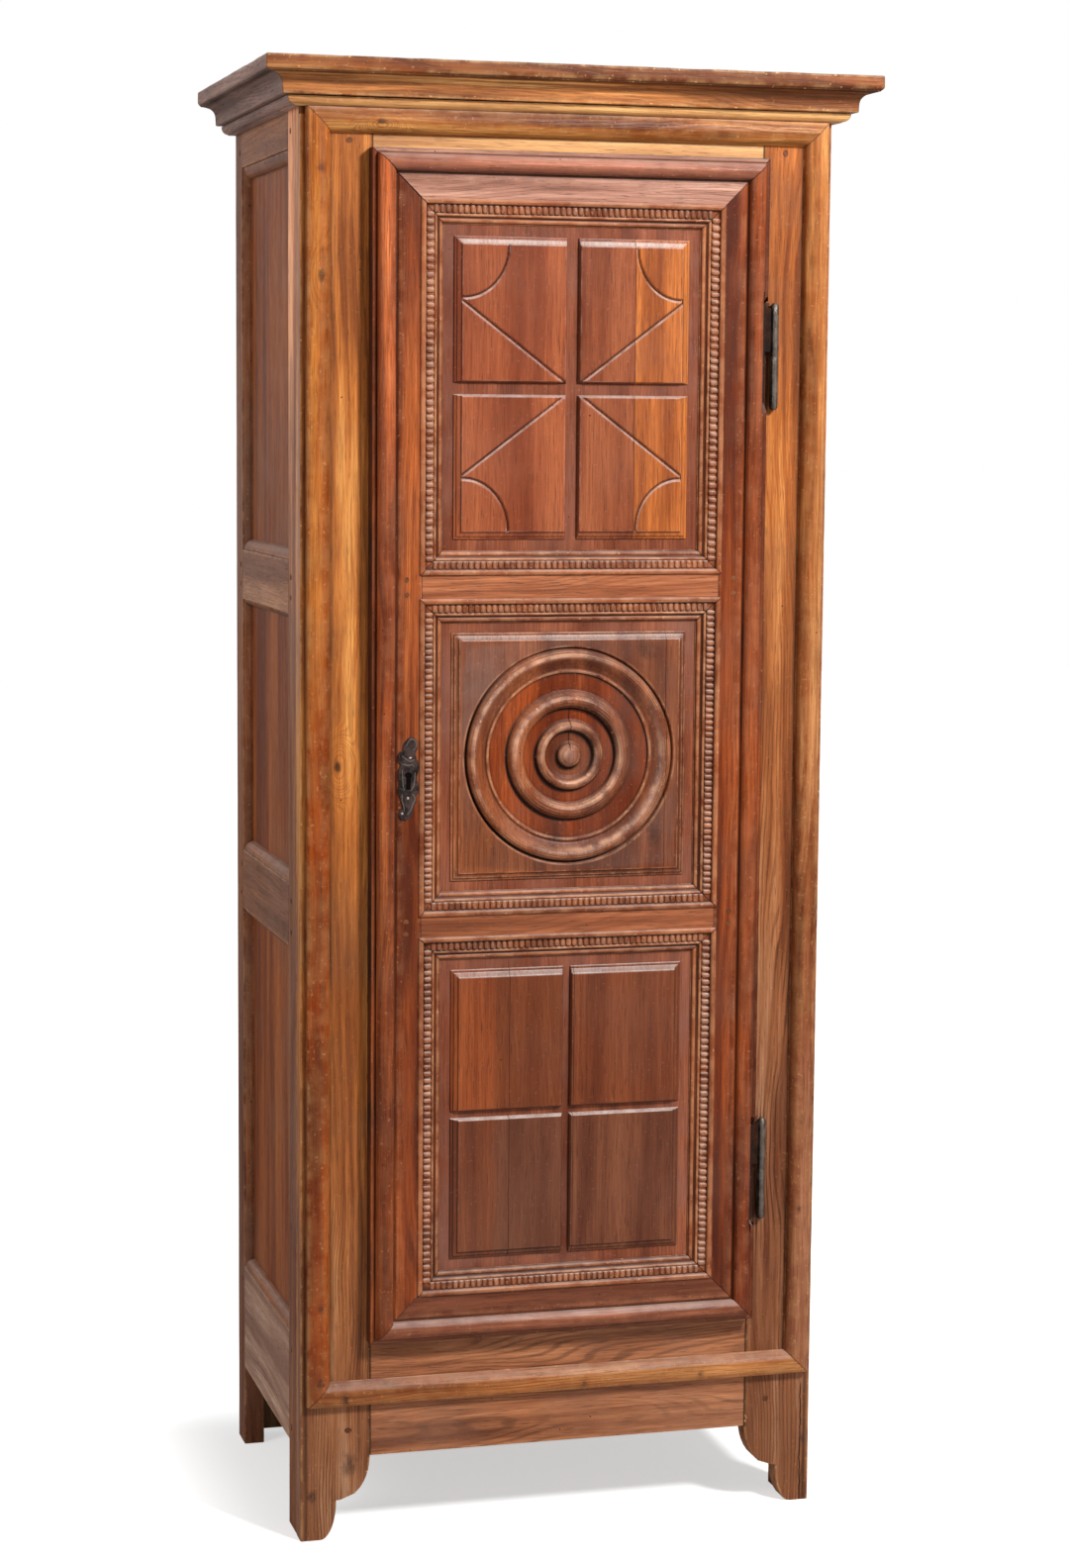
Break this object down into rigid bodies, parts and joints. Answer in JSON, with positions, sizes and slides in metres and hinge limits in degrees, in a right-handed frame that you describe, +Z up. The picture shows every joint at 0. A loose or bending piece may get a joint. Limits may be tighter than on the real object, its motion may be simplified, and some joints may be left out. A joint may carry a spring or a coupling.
{
  "type": "bonnetiere cabinet",
  "caption": "Tall narrow linen cupboard with a moulded cornice, panelled sides, scalloped front feet and a single carved three-panel door on fiche hinges, with shelves inside.",
  "frame": {"origin": "bottom centre of the bounding box: on the floor, midway across and midway from the front of the cornice to the back boards", "axes": "+Z up; the door and cornice front face -Y, the back boards face +Y; +X towards the hinge side of the door"},
  "size_m": [0.848, 0.541, 2],
  "materials": {
    "case_wood": "old waxed golden-brown wood, softly glossy on the crests, dark in the hollows",
    "door_wood": "old waxed red-brown wood, carved, softly glossy",
    "side_wood": "dry grey-brown aged wood, dull",
    "inner_wood": "unfinished sawn wood, dull",
    "iron": "dark aged wrought iron"
  },
  "bodies": {
    "case": {"post_front_left": "case_wood", "post_front_right": "case_wood", "post_rear_left": "side_wood", "post_rear_right": "side_wood", "front_bottom_rail": "case_wood", "front_top_rail": "case_wood", "side_bottom_rail_left": "side_wood", "side_bottom_rail_right": "side_wood", "side_lower_rail_left": "side_wood", "side_lower_rail_right": "side_wood", "side_upper_rail_left": "side_wood", "side_upper_rail_right": "side_wood", "side_top_rail_left": "side_wood", "side_top_rail_right": "side_wood", "side_lower_panel_left": "side_wood", "side_lower_panel_right": "side_wood", "side_middle_panel_left": "side_wood", "side_middle_panel_right": "side_wood", "side_upper_panel_left": "side_wood", "side_upper_panel_right": "side_wood", "back_bottom_rail": "inner_wood", "back_top_rail": "inner_wood", "back_boards": "inner_wood", "floor_board": "inner_wood", "top_board": "inner_wood", "shelf_lower": "inner_wood", "shelf_lower_batten_left": "inner_wood", "shelf_lower_batten_right": "inner_wood", "shelf_upper": "inner_wood", "shelf_upper_batten_left": "inner_wood", "shelf_upper_batten_right": "inner_wood", "cornice_crown_front": "case_wood", "cornice_crown_left": "side_wood", "cornice_crown_right": "side_wood", "cornice_bed_front": "case_wood", "cornice_bed_left": "side_wood", "cornice_bed_right": "side_wood", "front_moulding_left": "case_wood", "front_moulding_top": "case_wood", "front_moulding_right": "case_wood", "front_moulding_bottom": "case_wood", "hinge_upper_post_leaf": "iron", "hinge_lower_post_leaf": "iron"},
    "door": {"door_stile_lock": "door_wood", "door_stile_hinge": "door_wood", "door_top_rail": "door_wood", "door_bottom_rail": "door_wood", "door_lower_mid_rail": "door_wood", "door_upper_mid_rail": "door_wood", "door_lower_panel": "door_wood", "door_middle_panel": "door_wood", "door_upper_panel": "door_wood", "door_lower_panel_moulding": "door_wood", "door_middle_panel_moulding": "door_wood", "door_upper_panel_moulding": "door_wood", "hinge_upper_door_leaf": "iron", "hinge_lower_door_leaf": "iron", "escutcheon": "iron", "lock_case": "iron"},
    "lock_bolt": {"lock_bolt": "iron"}
  },
  "joints": [
    {"name": "door_hinge", "type": "hinge", "parent": "case", "child": "door", "pos_m": [0.288, -0.2235, 1.056], "axis": [0, 0, 1], "range_deg": [0, 110]},
    {"name": "bolt_slide", "type": "slide", "parent": "door", "child": "lock_bolt", "axis": [-1, 0, 0], "range_m": [0, 0.012]}
  ]
}
